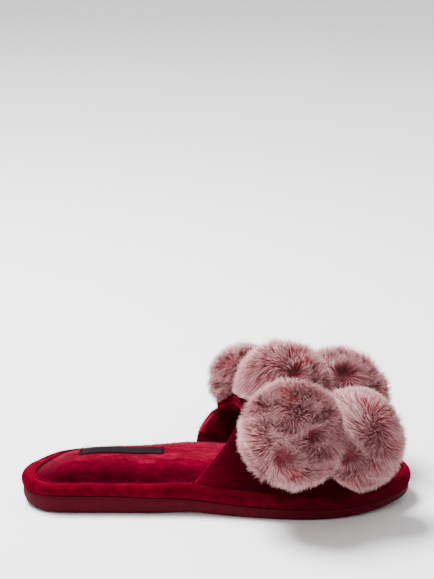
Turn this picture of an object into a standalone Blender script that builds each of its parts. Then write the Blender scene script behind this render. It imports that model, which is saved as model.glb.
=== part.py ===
"""Pom pom slipper for the left foot: rubber outsole, velvet midsole, puffed footbed, crossed straps, five pompoms.

Metres. X runs to the toe, Y to the outer side of the foot, Z up.
The origin is on the floor, under the middle of the heel.
"""

import math
from collections import namedtuple

import bmesh
import bpy
from mathutils import Vector, noise

# Driving sizes of the sole
SOLE_LENGTH = 0.260
BALL_WIDTH = 0.0985
HEEL_WIDTH = 0.075
HEEL_SEAT = 0.045
RUBBER_HEIGHT = 0.0126
RUBBER_STEP = 0.0011
RUBBER_ROUNDING = 0.0035
RIM_HEIGHT = 0.0203
RIM_ROLL = 0.0038
RIM_WIDTH = 0.0072
RIM_DROP = 0.0007
BOARD = 0.002
TOE_SPRING = 0.0055
HEEL_SPRING = 0.0034
ARCH_LIFT = 0.0012
TREAD_PITCH = 0.0085
TREAD_GROOVE = 0.0026
TREAD_DEPTH = 0.0011
TREAD_BORDER = 0.010

# Driving sizes of the footbed and its label
PAD_CROWN = 0.0073
PAD_SHOULDER = 0.016
PAD_EDGE = 0.0012
LABEL_LENGTH = 0.056
LABEL_WIDTH = 0.011
LABEL_THICKNESS = 0.0006
LABEL_ALONG = 0.255
LABEL_ACROSS = 0.0060

# Driving sizes of the straps
INSTEP_HEIGHT = 0.0435
STRAP_WALL = 0.0032
STRAP_LAP = 0.0022
STRAP_EDGE = 0.0016
STRAP_INSET = 0.0055
ARCH_POWER = 2.6
CREST_LEAN = 0.10

# Driving sizes of the pompoms
POMPOM_RADIUS = 0.0368
LOCK_ROOT = 0.925
LOCK_TIP = 1.02
LOCK_DROOP = 0.10
LOCK_UNEVEN = 0.05
LOCK_MARGIN = 0.004

# Clearance between pieces that touch
GAP = 0.0003

# Half width of the sole at a share of its length, as a share of the heel's and of the ball's half width,
# and how far its middle is shifted to the inner side, as a share of the ball's width.
Plan = namedtuple("Plan", "along heel ball shift")
PLAN = (
    Plan(0.000, 0.000, 0.000, 0.085),
    Plan(0.008, 0.310, 0.000, 0.078),
    Plan(0.026, 0.525, 0.000, 0.072),
    Plan(0.060, 0.765, 0.000, 0.053),
    Plan(0.100, 0.895, 0.000, 0.032),
    Plan(0.131, 0.945, 0.000, 0.018),
    Plan(0.173, 0.980, 0.000, 0.006),
    Plan(0.225, 0.990, 0.010, -0.002),
    Plan(0.283, 0.950, 0.055, -0.008),
    Plan(0.342, 0.820, 0.180, -0.018),
    Plan(0.400, 0.620, 0.345, -0.022),
    Plan(0.447, 0.460, 0.490, -0.024),
    Plan(0.537, 0.200, 0.750, -0.016),
    Plan(0.612, 0.060, 0.915, -0.010),
    Plan(0.704, 0.000, 1.000, -0.004),
    Plan(0.781, 0.000, 0.972, 0.004),
    Plan(0.854, 0.000, 0.874, 0.010),
    Plan(0.914, 0.000, 0.705, 0.015),
    Plan(0.969, 0.000, 0.445, 0.022),
    Plan(0.990, 0.000, 0.260, 0.034),
    Plan(1.000, 0.000, 0.000, 0.045),
)

# Heights above the sole's underside at a share of its length, as shares of the rubber's height,
# of the rim's height and of the pad's crown.
Heights = namedtuple("Heights", "along rubber rim crown")
HEIGHTS = (
    Heights(0.000, 0.66, 0.81, 0.00),
    Heights(0.030, 0.86, 0.90, 0.10),
    Heights(0.075, 1.00, 0.98, 0.60),
    Heights(0.150, 1.02, 1.00, 0.95),
    Heights(0.260, 0.98, 1.00, 1.00),
    Heights(0.360, 0.88, 1.00, 1.00),
    Heights(0.450, 0.75, 0.99, 1.00),
    Heights(0.570, 0.69, 0.92, 0.96),
    Heights(0.700, 0.60, 0.85, 0.90),
    Heights(0.830, 0.56, 0.80, 0.85),
    Heights(0.930, 0.53, 0.79, 0.55),
    Heights(0.975, 0.50, 0.79, 0.10),
    Heights(1.000, 0.48, 0.79, 0.00),
)

# Height of the straps' crest above the rim, as a share of the instep's height.
Instep = namedtuple("Instep", "along crest")
INSTEP = (
    Instep(0.42, 1.04),
    Instep(0.57, 0.97),
    Instep(0.68, 0.84),
    Instep(0.78, 0.70),
    Instep(0.88, 0.60),
)

# Where each edge of the straps starts at the inner rim, is at the crest, and ends at the outer rim,
# as shares of the sole's length, and how closely it keeps to the foot of the outer side before it swings over.
Edge = namedtuple("Edge", "inner crest outer hug")
THROAT_EDGE = Edge(0.448, 0.567, 0.447, 1.5)
TOE_EDGE = Edge(0.885, 0.760, 0.850, 1.0)
TOP_STRAP_REAR = 0.720
TOP_STRAP_FRONT = 0.640

# Each pompom's middle as shares of the sole's length, of the ball's width (outwards) and of the instep's height
# above the floor, its reach each way as shares of the radius, and how easily it is pressed flat by another.
Pompom = namedtuple("Pompom", "name along across above wide deep tall give")
POMPOMS = (
    Pompom("pompom_inner_rear", 0.689, -0.528, 1.441, 1.01, 1.00, 1.02, 0.15),
    Pompom("pompom_inner_front", 0.839, -0.426, 1.260, 0.97, 0.80, 0.97, 0.85),
    Pompom("pompom_top", 0.672, 0.000, 1.726, 0.93, 0.93, 0.93, 0.50),
    Pompom("pompom_outer_rear", 0.576, 0.457, 1.500, 0.69, 0.86, 0.67, 1.00),
    Pompom("pompom_outer_front", 0.820, 0.457, 1.175, 1.01, 0.99, 1.01, 1.00),
)

# Fineness of the meshes
SIDE_STATIONS = 28
ROUNDING_STEPS = 3
ROLL_STEPS = 6
ARCH_STEPS = 30
STRAP_STEPS = 5
LABEL_STEPS = 12

RUBBER = (0.095, 0.012, 0.022, 1.0)
VELVET = (0.250, 0.006, 0.030, 1.0)
PLUSH = (0.330, 0.012, 0.050, 1.0)
FUR = (0.520, 0.270, 0.270, 1.0)
WEAVE = (0.015, 0.015, 0.017, 1.0)


def smooth(rows, key, column, at):
    """The named column of a table at a key value, on a cubic curve through its rows."""
    keys = [key(row) for row in rows]
    values = [getattr(row, column) for row in rows]
    at = min(max(at, keys[0]), keys[-1])
    i = max(j for j in range(len(keys) - 1) if keys[j] <= at)

    def slope(j):
        low, high = max(j - 1, 0), min(j + 1, len(keys) - 1)
        return (values[high] - values[low]) / (keys[high] - keys[low])

    span = keys[i + 1] - keys[i]
    t = (at - keys[i]) / span
    first = (2 * t**3 - 3 * t**2 + 1) * values[i] + (t**3 - 2 * t**2 + t) * span * slope(i)
    second = (3 * t**2 - 2 * t**3) * values[i + 1] + (t**3 - t**2) * span * slope(i + 1)
    return first + second


def turn_of(along):
    """A share of the length as a share of a half turn, which keeps both ends of the outline round."""
    return math.acos(1 - 2 * min(max(along, 0.0), 1.0)) / math.pi


def plan_at(turn):
    """(x, y of the middle, half width) of the sole's outline."""
    x = SOLE_LENGTH * (1 - math.cos(math.pi * turn)) / 2 - HEEL_SEAT
    parts = {c: smooth(PLAN, lambda row: turn_of(row.along), c, turn) for c in ("heel", "ball", "shift")}
    half = (parts["heel"] * HEEL_WIDTH + parts["ball"] * BALL_WIDTH) / 2
    return x, -parts["shift"] * BALL_WIDTH, half


def along_at(x):
    return (x + HEEL_SEAT) / SOLE_LENGTH


def underside(x):
    """Height of the sole's underside: flat under heel and ball, lifted at the waist, sprung at the ends."""
    along = along_at(x)
    toe = max(0.0, (along - 0.71) / 0.29)
    heel = max(0.0, (0.07 - along) / 0.07)
    waist = min(max((along - 0.32) / 0.24, 0.0), 1.0)
    arch = math.sin(math.pi * waist) ** 2
    return TOE_SPRING * toe**2 + HEEL_SPRING * heel**2 + ARCH_LIFT * arch


def height_at(x, column):
    return smooth(HEIGHTS, lambda row: row.along, column, along_at(x))


def rubber_top(x):
    return underside(x) + RUBBER_HEIGHT * height_at(x, "rubber")


def rim_top(x):
    return underside(x) + RIM_HEIGHT * height_at(x, "rim")


def board_top(x):
    return rubber_top(x) + GAP + BOARD


def pad_top(x):
    return rim_top(x) - RIM_DROP + PAD_CROWN * height_at(x, "crown")


def outline(inset):
    """The sole's outline moved in by an inset: heel end, inner side, toe end, outer side."""
    steps = [k / SIDE_STATIONS for k in range(SIDE_STATIONS + 1)]
    stations = [plan_at(turn) for turn in steps]
    points = [Vector((x, mid - half, 0)) for x, mid, half in stations]
    points += [Vector((x, mid + half, 0)) for x, mid, half in reversed(stations[1:-1])]
    moved = []
    for i, point in enumerate(points):
        way = points[(i + 1) % len(points)] - points[i - 1]
        inwards = Vector((-way.y, way.x, 0)).normalized()
        moved.append(point + inwards * inset)
    return moved


def ring(inset, height):
    """A level of a sole piece: the inset outline, each point at the height that its x gives."""
    return [Vector((p.x, p.y, height(p.x))) for p in outline(inset)]


def material(name, colour, roughness):
    made = bpy.data.materials.new(name)
    made.use_nodes = True
    shader = made.node_tree.nodes["Principled BSDF"]
    shader.inputs["Base Color"].default_value = colour
    shader.inputs["Roughness"].default_value = roughness
    shader.inputs["Metallic"].default_value = 0.0
    return made


def add_object(name, bm, finish, collection):
    mesh = bpy.data.meshes.new(name)
    bm.to_mesh(mesh)
    bm.free()
    made = bpy.data.objects.new(name, mesh)
    collection.objects.link(made)
    if finish:
        mesh.materials.append(finish)
    return made


def loft(name, rings, finish, collection):
    """A closed sole piece through level rings, lowest first, with strips across the first and the last."""
    bm = bmesh.new()
    levels = [[bm.verts.new(p) for p in level] for level in rings]
    count = len(levels[0])
    for low, high in zip(levels, levels[1:]):
        for i in range(count):
            j = (i + 1) % count
            bm.faces.new((low[i], low[j], high[j], high[i]))
    for level, upwards in ((levels[0], False), (levels[-1], True)):
        for i in range(count // 2):
            strip = [level[i], level[i + 1], level[-i - 1], level[-i]]
            corners = list(dict.fromkeys(strip))
            bm.faces.new(corners if upwards else corners[::-1])
    bmesh.ops.recalc_face_normals(bm, faces=bm.faces[:])
    made = add_object(name, bm, finish, collection)
    made.data.shade_smooth()
    return made


def quarter(steps):
    """(share out, share up) along a quarter turn, from straight down to straight out."""
    turns = [math.pi / 2 * k / steps for k in range(steps + 1)]
    return [(math.sin(turn), 1 - math.cos(turn)) for turn in turns]


def make_outsole(finish, collection, helpers):
    rings = []
    for out, up in quarter(ROUNDING_STEPS):
        inset = RUBBER_STEP + RUBBER_ROUNDING * (1 - out)
        rings.append(ring(inset, lambda x, up=up: underside(x) + RUBBER_ROUNDING * up))
    rings.append(ring(RUBBER_STEP, rubber_top))
    outsole = loft("outsole", rings, finish, collection)
    cutter = make_tread_cutter(helpers)
    cut = outsole.modifiers.new("tread", "BOOLEAN")
    cut.operation = "DIFFERENCE"
    cut.object = cutter


def make_tread_cutter(helpers):
    """Straight grooves across the underside, in rows under the heel and the forefoot, inside a plain border."""
    bm = bmesh.new()
    for first, last in ((0.055, 0.291), (0.57, 0.90)):
        count = int((last - first) * SOLE_LENGTH / TREAD_PITCH / 2) * 2
        middle = (first + last) / 2 * SOLE_LENGTH - HEEL_SEAT
        for k in range(count):
            x = middle + (k - (count - 1) / 2) * TREAD_PITCH
            _, mid, half = plan_at(turn_of(along_at(x)))
            length = 2 * (half - TREAD_BORDER)
            if length < 2 * TREAD_PITCH:
                continue
            box = bmesh.ops.create_cube(bm, size=1.0)["verts"]
            bmesh.ops.scale(bm, verts=box, vec=(TREAD_GROOVE, length, 2 * TREAD_DEPTH))
            bmesh.ops.translate(bm, verts=box, vec=(x, mid, underside(x)))
    cutter = add_object("tread_cutter", bm, None, helpers)
    cutter.hide_render = True
    cutter.display_type = "WIRE"
    return cutter


def make_midsole(finish, collection):
    """The velvet-wrapped platform: a rolled outer side, a soft rim, and a recess that holds the footbed."""
    rings = [ring(RUBBER_STEP + RIM_ROLL, lambda x: rubber_top(x) + GAP)]
    for k in range(ROLL_STEPS + 1):
        turn = math.pi * (k / ROLL_STEPS - 0.5)
        inset = (RUBBER_STEP if turn < 0 else RIM_ROLL) * (1 - math.cos(turn))
        share = 0.03 + 0.97 * (1 + math.sin(turn)) / 2

        def level(x, share=share):
            low, high = rubber_top(x) + GAP, rim_top(x)
            return low + (high - low) * share

        rings.append(ring(inset, level))
    rings.append(ring(RIM_WIDTH - GAP, lambda x: rim_top(x) - RIM_DROP))
    rings.append(ring(RIM_WIDTH + GAP, board_top))
    loft("midsole", rings, finish, collection)


def make_insole(finish, collection):
    """The puffed footbed pad: straight inside the recess, steep at its shoulder, flat on top."""
    inside = RIM_WIDTH + 2 * GAP
    rings = [ring(inside + GAP + PAD_EDGE, lambda x: board_top(x) + GAP)]
    rings.append(ring(inside + GAP, lambda x: board_top(x) + GAP + PAD_EDGE / 2))
    rings.append(ring(inside, lambda x: rim_top(x) - RIM_DROP))
    for share in (0.06, 0.20, 0.40, 0.66, 1.0):
        rise = math.sqrt(1 - (1 - share) ** 2)

        def level(x, rise=rise):
            seam = rim_top(x) - RIM_DROP
            return seam + (pad_top(x) - seam) * rise

        rings.append(ring(inside + PAD_SHOULDER * share, level))
    loft("insole", rings, finish, collection)


def make_label(finish, collection):
    """The woven label: a thin strip that lies on the footbed behind the arch."""
    middle = LABEL_ALONG * SOLE_LENGTH - HEEL_SEAT
    bm = bmesh.new()
    bmesh.ops.create_grid(bm, x_segments=LABEL_STEPS, y_segments=1, size=0.5)
    for v in bm.verts:
        x = middle + v.co.x * LABEL_LENGTH
        y = LABEL_ACROSS + v.co.y * LABEL_WIDTH
        v.co = Vector((x, y, pad_top(x) + GAP))
    label = add_object("label", bm, finish, collection)
    thick = label.modifiers.new("thickness", "SOLIDIFY")
    thick.thickness = LABEL_THICKNESS
    thick.offset = 1.0


def edge_along(edge, angle):
    """Where an edge of the straps lies at an angle round the arch, as a share of the sole's length."""
    rise = math.sin(angle) ** (2 / ARCH_POWER)
    if angle < math.pi / 2:
        return edge.inner + (edge.crest - edge.inner) * rise
    return edge.outer + (edge.crest - edge.outer) * rise**edge.hug


def strap_lines(angle):
    """The straps' lines from throat to toe at an angle round the arch: (share of length, share of lap).

    The under strap runs from the inner rim's rear to the outer rim's front, and the top strap crosses it.
    """
    throat, toe = edge_along(THROAT_EDGE, angle), edge_along(TOE_EDGE, angle)
    border = STRAP_EDGE / SOLE_LENGTH
    rear = throat + 4 * border + (TOP_STRAP_REAR - THROAT_EDGE.inner) * math.cos(angle / 2) ** 8
    front = toe - 4 * border - (TOE_EDGE.outer - TOP_STRAP_FRONT) * math.sin(angle / 2) ** 8
    lines = [(throat, -1.0), (throat + border / 2, 0.0)]
    for low, high, lap in (
        (throat + border, rear - border, 0.0),
        (rear, front, 1.0),
        (front + border, toe - border, 0.0),
    ):
        count = STRAP_STEPS + 1
        lines += [(low + (high - low) * k / (count - 1), lap) for k in range(count)]
    lines += [(toe - border / 2, 0.0), (toe, -1.0)]
    return lines


def lining_point(along, angle):
    """A point of the straps' inner face: an arch from rim to rim, its crest leaning to the inner side."""
    x, mid, half = plan_at(turn_of(along))
    reach = half - STRAP_INSET - STRAP_WALL / 2
    crest = INSTEP_HEIGHT * smooth(INSTEP, lambda row: row.along, "crest", along)
    across = math.copysign(abs(math.cos(angle)) ** (2 / ARCH_POWER), math.cos(angle))
    rise = math.sin(angle) ** (2 / ARCH_POWER)
    y = mid - reach * (across + CREST_LEAN * rise**3)
    return Vector((x, y, rim_top(x) + GAP + crest * rise))


def strap_thickness(lap):
    """Wall of the under strap, with the top strap's lap added, or thin at a free edge."""
    if lap < 0:
        return STRAP_WALL / 2
    return STRAP_WALL + STRAP_LAP * lap


def arch_angles():
    return [math.pi * k / ARCH_STEPS for k in range(ARCH_STEPS + 1)]


def make_upper(finish, collection):
    """Both straps as one hollow wall: its lining face is a bent grid, and Solidify gives the padding."""
    angles = arch_angles()
    count = len(strap_lines(0.0))
    bm = bmesh.new()
    bmesh.ops.create_grid(bm, x_segments=count - 1, y_segments=ARCH_STEPS, size=0.5)
    thickest = STRAP_WALL + STRAP_LAP
    weights = {}
    for v in bm.verts:
        across = round((v.co.x + 0.5) * (count - 1))
        angle = angles[round((v.co.y + 0.5) * ARCH_STEPS)]
        along, lap = strap_lines(angle)[across]
        weights[v.index] = strap_thickness(lap) / thickest
        v.co = lining_point(along, angle)
    upper = add_object("upper", bm, finish, collection)
    group = upper.vertex_groups.new(name="padding")
    for index, weight in weights.items():
        group.add([index], weight, "REPLACE")
    padding = upper.modifiers.new("padding", "SOLIDIFY")
    padding.thickness = thickest
    padding.offset = 1.0
    padding.vertex_group = group.name
    upper.data.shade_smooth()


def strap_normal(along, angle):
    """The outward direction of the straps at a place on the arch."""
    step = 0.002
    lengthwise = lining_point(along + step, angle) - lining_point(along - step, angle)
    low, high = max(angle - step, 0.0), min(angle + step, math.pi)
    crosswise = lining_point(along, high) - lining_point(along, low)
    return lengthwise.cross(crosswise).normalized()


def strap_face():
    """Points of the straps' outer face, which the pompoms are pressed against."""
    points = []
    for angle in arch_angles():
        for along, lap in strap_lines(angle):
            points.append(lining_point(along, angle) + strap_normal(along, angle) * strap_thickness(lap))
    return points


def sole_face():
    """Points of the rim and the footbed, which no pompom sinks into."""
    levels = (
        ring(0.0, lambda x: (rubber_top(x) + rim_top(x)) / 2),
        ring(RIM_ROLL, rim_top),
        ring(RIM_WIDTH + PAD_SHOULDER / 4, pad_top),
        ring(RIM_WIDTH + PAD_SHOULDER, pad_top),
    )
    return [point for level in levels for point in level]


def middle_of(row):
    x = row.along * SOLE_LENGTH - HEEL_SEAT
    return Vector((x, row.across * BALL_WIDTH, row.above * INSTEP_HEIGHT))


def reach_of(row, way):
    """How far a pompom's round shape reaches in a direction."""
    squashed = Vector((way.x / row.wide, way.y / row.deep, way.z / row.tall))
    return POMPOM_RADIUS / squashed.length


def near_wall(row, towards, points):
    """How far a flat wall square to a direction stands from a pompom's middle, clear of the points inside it."""
    found = POMPOM_RADIUS * 2
    for point in points:
        offset = point - middle_of(row)
        depth = offset.dot(towards)
        if depth > 0 and offset.length < POMPOM_RADIUS + LOCK_MARGIN:
            found = min(found, depth - GAP)
    return found


def pompom_walls(row, straps, sole):
    """The flat walls that a crowded pompom is pressed against: the straps, the sole and its neighbours."""
    middle = middle_of(row)
    walls = []
    for face in (straps, sole):
        nearest = min(face, key=lambda point: (point - middle).length)
        inwards = (nearest - middle).normalized()
        walls.append((inwards, near_wall(row, inwards, face)))
    for other in POMPOMS:
        if other is row:
            continue
        way = middle_of(other) - middle
        towards = way.normalized()
        reach = reach_of(row, towards)
        overlap = max(0.0, reach + reach_of(other, towards) + LOCK_MARGIN - way.length)
        walls.append((towards, reach + LOCK_MARGIN / 2 - overlap * row.give / (row.give + other.give) - GAP / 2))
    return walls


def make_pompom(row, straps, sole, finish, collection):
    """A ball of fur locks: each face of an icosphere is raised to a tuft that droops a little."""
    middle = middle_of(row)
    walls = pompom_walls(row, straps, sole)
    bm = bmesh.new()
    bmesh.ops.create_icosphere(bm, subdivisions=3, radius=1.0)
    tips = set(bmesh.ops.poke(bm, faces=bm.faces[:])["verts"])
    for v in bm.verts:
        way = v.co.normalized()
        share = LOCK_ROOT
        if v in tips:
            way = (way + Vector((0, 0, -LOCK_DROOP))).normalized()
            share = LOCK_TIP
        share += LOCK_UNEVEN * noise.noise(way * 2.2 + middle * (3.7 / POMPOM_RADIUS))
        reach = reach_of(row, way) * share
        for towards, distance in walls:
            if way.dot(towards) > 0:
                reach = min(reach, distance / way.dot(towards))
        v.co = middle + way * reach
    add_object(row.name, bm, finish, collection)


def clear_scene():
    for obj in list(bpy.data.objects):
        bpy.data.objects.remove(obj)


def new_collection(name):
    made = bpy.data.collections.new(name)
    bpy.context.scene.collection.children.link(made)
    return made


def main():
    clear_scene()
    slipper = new_collection("pom_pom_slipper")
    helpers = new_collection("cutters")
    velvet = material("ruby_velvet", VELVET, 0.75)
    make_outsole(material("burgundy_rubber", RUBBER, 0.55), slipper, helpers)
    make_midsole(velvet, slipper)
    make_insole(material("ruby_plush", PLUSH, 0.9), slipper)
    make_label(material("black_woven_tape", WEAVE, 0.6), slipper)
    make_upper(velvet, slipper)
    fur = material("frosted_faux_fur", FUR, 0.95)
    straps, sole = strap_face(), sole_face()
    for row in POMPOMS:
        make_pompom(row, straps, sole, fur, slipper)


main()
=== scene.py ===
# %% [markdown]
# # A pom pom slipper in velvet and faux fur
#
# A house slipper for the left foot: a rubber sole, a platform wrapped in ruby velvet, a puffed plush footbed,
# two padded straps that cross over the foot, and five fur pompoms.
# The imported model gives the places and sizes. Each cell below dresses one piece of it, and says what that piece
# is on the real slipper, how it could be made, and why it is made this way here.

# %% Load the model
import math
from collections import namedtuple

import bmesh
import bpy
import numpy as np
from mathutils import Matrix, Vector, noise


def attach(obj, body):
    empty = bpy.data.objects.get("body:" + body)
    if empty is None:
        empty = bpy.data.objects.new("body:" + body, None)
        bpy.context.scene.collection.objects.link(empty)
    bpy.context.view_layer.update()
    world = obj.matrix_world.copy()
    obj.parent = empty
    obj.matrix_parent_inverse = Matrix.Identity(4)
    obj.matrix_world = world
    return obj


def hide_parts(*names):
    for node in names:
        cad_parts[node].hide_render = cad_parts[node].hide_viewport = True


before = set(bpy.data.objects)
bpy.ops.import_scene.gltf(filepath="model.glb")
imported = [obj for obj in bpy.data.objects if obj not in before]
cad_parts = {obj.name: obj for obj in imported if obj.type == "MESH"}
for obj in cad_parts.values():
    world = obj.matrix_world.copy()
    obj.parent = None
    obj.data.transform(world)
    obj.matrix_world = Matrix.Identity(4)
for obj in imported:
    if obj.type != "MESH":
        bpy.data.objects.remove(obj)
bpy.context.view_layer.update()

GAP = 0.0003
print("nodes to dress:", sorted(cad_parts))


# %% [markdown]
# ## Colours and nodes
#
# A colour picker shows sRGB, while shaders mix linear light, so one function turns the first into the second.
# One more function adds a node with its settings and links, which keeps each material short enough to read.

# %% Two helpers for every material
def linear(code):
    """Linear RGBA of an sRGB hex colour."""
    channels = [int(code[i : i + 2], 16) / 255 for i in (1, 3, 5)]
    return (*[c / 12.92 if c <= 0.04045 else ((c + 0.055) / 1.055) ** 2.4 for c in channels], 1.0)


def add(material, kind, links=(), inputs=(), **settings):
    """A node of that kind with its settings, input values and (from node, from socket, to socket) links."""
    tree = material.node_tree
    node = tree.nodes.new(kind)
    for key, value in settings.items():
        setattr(node, key, value)
    for key, value in dict(inputs).items():
        node.inputs[key].default_value = value
    for source, output, target in links:
        tree.links.new(source.outputs[output], node.inputs[target])
    return node


def new_material(name, roughness, **sockets):
    """A material with a Principled shader, whose even values are set on its own sockets."""
    material = bpy.data.materials.new(name)
    material.use_nodes = True
    shader = material.node_tree.nodes["Principled BSDF"]
    shader.inputs["Roughness"].default_value = roughness
    for key, value in sockets.items():
        shader.inputs[key.replace("_", " ")].default_value = value
    return material, shader


def ramp(material, source, output, stops):
    """A colour ramp through (place, hex colour) stops."""
    node = add(material, "ShaderNodeValToRGB", [(source, output, "Fac")])
    while len(node.color_ramp.elements) < len(stops):
        node.color_ramp.elements.new(0.5)
    for element, (place, code) in zip(node.color_ramp.elements, stops):
        element.position, element.color = place, linear(code)
    return node


print("ruby in linear light:", [round(c, 3) for c in linear("#8c1230")])


# %% [markdown]
# ## The velvets and the rubber
#
# Velvet is a woven cloth with a short, dense pile. Its fibres stand up, so it looks dark where one looks into
# the pile and catches a pale sheen at the edges and over the crown of each curve. The Sheen of the Principled
# shader is made for that. Fingers leave the pile brushed one way or the other, which shows as patches a few
# millimetres across, and the pile itself is about 0.3 mm fine: it is drawn at 0.6 mm so that it shows at all.

# %% Velvet, plush and rubber
MM = 0.001


# The way the light comes from, for the painted slope shade of the piles.
LIGHT_WAY = (0.25, 0.45, 0.85)


def pile(name, dark, mid, light, patch_mm, grain_mm, sheen, tint, painted_shade_share, relief_mm, painted_light_span=None, slope=(0.52, 0.98)):
    """A pile cloth: brushed patches in three tones, a fine grain, and a soft sheen.

    Slopes turned away from the light's way are painted darker, and slopes turned to it lighter, by the share
    given: painted shade and painted light. Between the first x and the second, in metres, the colour is scaled
    from the first of the two factors that follow to the second: painted light at one end, painted shade at the other.
    """
    material, shader = new_material(
        name, 1.0, Sheen_Weight=sheen, Sheen_Roughness=0.3, Sheen_Tint=linear(tint), IOR=1.45
    )
    shader.inputs["Specular IOR Level"].default_value = 0.0
    place = add(material, "ShaderNodeTexCoord")
    along = add(
        material, "ShaderNodeVectorMath", [(place, "Object", 0)], {1: (0.5, 1.0, 1.0)}, operation="MULTIPLY"
    )
    patches = add(
        material, "ShaderNodeTexNoise", [(along, "Vector", "Vector")],
        {"Scale": 1 / (patch_mm * MM), "Detail": 3.0, "Roughness": 0.6, "Distortion": 0.4},
    )
    grain = add(
        material, "ShaderNodeTexNoise", [(place, "Object", "Vector")],
        {"Scale": 1 / (grain_mm * MM), "Detail": 2.0, "Roughness": 0.7},
    )
    blend = add(
        material, "ShaderNodeMix", [(patches, "Fac", "A"), (grain, "Fac", "B")], {"Factor": 0.42},
        data_type="FLOAT",
    )
    tones = ramp(material, blend, "Result", ((0.36, dark), (0.50, mid), (0.64, light)))
    # Painted light and shade: the colour is scaled by how far each slope faces the light.
    facing_light = add(
        material, "ShaderNodeVectorMath", [(place, "Normal", 0)], {1: LIGHT_WAY}, operation="DOT_PRODUCT"
    )
    depth = add(
        material, "ShaderNodeMapRange", [(facing_light, "Value", "Value")],
        {"From Min": slope[0], "From Max": slope[1], "To Min": 1 - painted_shade_share, "To Max": 1 + painted_shade_share},
    )
    brushed = add(
        material, "ShaderNodeVectorMath", [(tones, "Color", "Vector"), (depth, "Result", "Scale")], operation="SCALE"
    )
    # Painted light and shade along x: lighter at one end, darker at the other.
    if painted_light_span:
        split = add(material, "ShaderNodeSeparateXYZ", [(place, "Object", "Vector")])
        painted_falloff = add(
            material, "ShaderNodeMapRange", [(split, "X", "Value")],
            dict(zip(("From Min", "From Max", "To Min", "To Max"), painted_light_span)), interpolation_type="SMOOTHSTEP",
        )
        brushed = add(
            material, "ShaderNodeVectorMath", [(brushed, "Vector", "Vector"), (painted_falloff, "Result", "Scale")],
            operation="SCALE",
        )
    material.node_tree.links.new(brushed.outputs["Vector"], shader.inputs["Base Color"])
    bump = add(
        material, "ShaderNodeBump", [(blend, "Result", "Height")],
        {"Strength": 0.6, "Distance": relief_mm * MM},
    )
    material.node_tree.links.new(bump.outputs["Normal"], shader.inputs["Normal"])
    return material


# Painted light on the straps, four times lighter at the throat and on the far arm's cushion, falling to painted shade
# under the pompoms.
strap_velvet = pile(
    "brushed_ruby_velvet", "#34000a", "#3c000c", "#480010", 5.0, 0.6, 0.55, "#ff305c", 0.55, 0.3,
    (0.062, 0.108, 4.0, 0.90)
)
# Painted shade on the rim: darker towards the toe, under the pompoms.
rim_velvet = pile(
    "ruby_velvet_wrap", "#42000c", "#540013", "#68001c", 6.0, 0.7, 0.28, "#ff3c70", 0.28, 0.5,
    (0.04, 0.14, 1.0, 0.75)
)
# Painted light on the footbed: lighter towards the front, beside the straps.
footbed_plush = pile(
    "ruby_plush_pile", "#360009", "#480010", "#62001e", 5.0, 0.8, 0.85, "#ff6084", 0.60, 0.8,
    (0.0, 0.072, 1.0, 1.40)
)


def moulded_rubber():
    """Thermoplastic rubber as it leaves a fine-blasted mould: matte, even, with a hint of unevenness."""
    material, shader = new_material("burgundy_moulded_rubber", 0.7, IOR=1.45)
    shader.inputs["Specular IOR Level"].default_value = 0.06
    place = add(material, "ShaderNodeTexCoord")
    cloud = add(
        material, "ShaderNodeTexNoise", [(place, "Object", "Vector")],
        {"Scale": 1 / (9 * MM), "Detail": 4.0, "Roughness": 0.65},
    )
    tones = ramp(material, cloud, "Fac", ((0.3, "#38030e"), (0.7, "#420512")))
    material.node_tree.links.new(tones.outputs["Color"], shader.inputs["Base Color"])
    blast = add(
        material, "ShaderNodeTexNoise", [(place, "Object", "Vector")],
        {"Scale": 1 / (0.5 * MM), "Detail": 2.0, "Roughness": 0.6},
    )
    bump = add(material, "ShaderNodeBump", [(blast, "Fac", "Height")], {"Strength": 0.35, "Distance": 0.12 * MM})
    material.node_tree.links.new(bump.outputs["Normal"], shader.inputs["Normal"])
    return material


# The lining's tones are painted lighter than the footbed plush, as painted light inside the far arm, with painted
# shade deeper in and on slopes turned from the light.
lining_plush = pile(
    "ruby_strap_lining", "#600018", "#700022", "#820034", 4.0, 0.7, 0.3, "#ff3c70", 0.75, 0.6,
    (0.069, 0.100, 1.6, 0.6), (-0.75, 0.25)
)
rubber = moulded_rubber()
print("materials:", [m.name for m in (strap_velvet, rim_velvet, footbed_plush, rubber)])


# %% [markdown]
# ## The shape of the sole
#
# A sole is drawn from stations along its length: how far it reaches to each side, and how high its layers are.
# The same stations shaped the solids, so the dressed pieces lie just where the solids do.
# A cubic curve through each column keeps the sides fair, with no corners at the stations.

# %% Stations and smooth columns
SOLE_LENGTH = 0.260
BALL_WIDTH = 0.0985
HEEL_WIDTH = 0.075
HEEL_SEAT = 0.045
RUBBER_HEIGHT = 0.0126
RUBBER_STEP = 0.0011
RUBBER_ROUNDING = 0.0035
RIM_HEIGHT = 0.0203
RIM_ROLL = 0.0038
RIM_WIDTH = 0.0072
HEEL_EXTRA = 0.0020
RIM_DROP = 0.0007
TOE_SPRING = 0.0055
HEEL_SPRING = 0.0034
ARCH_LIFT = 0.0012

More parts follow.
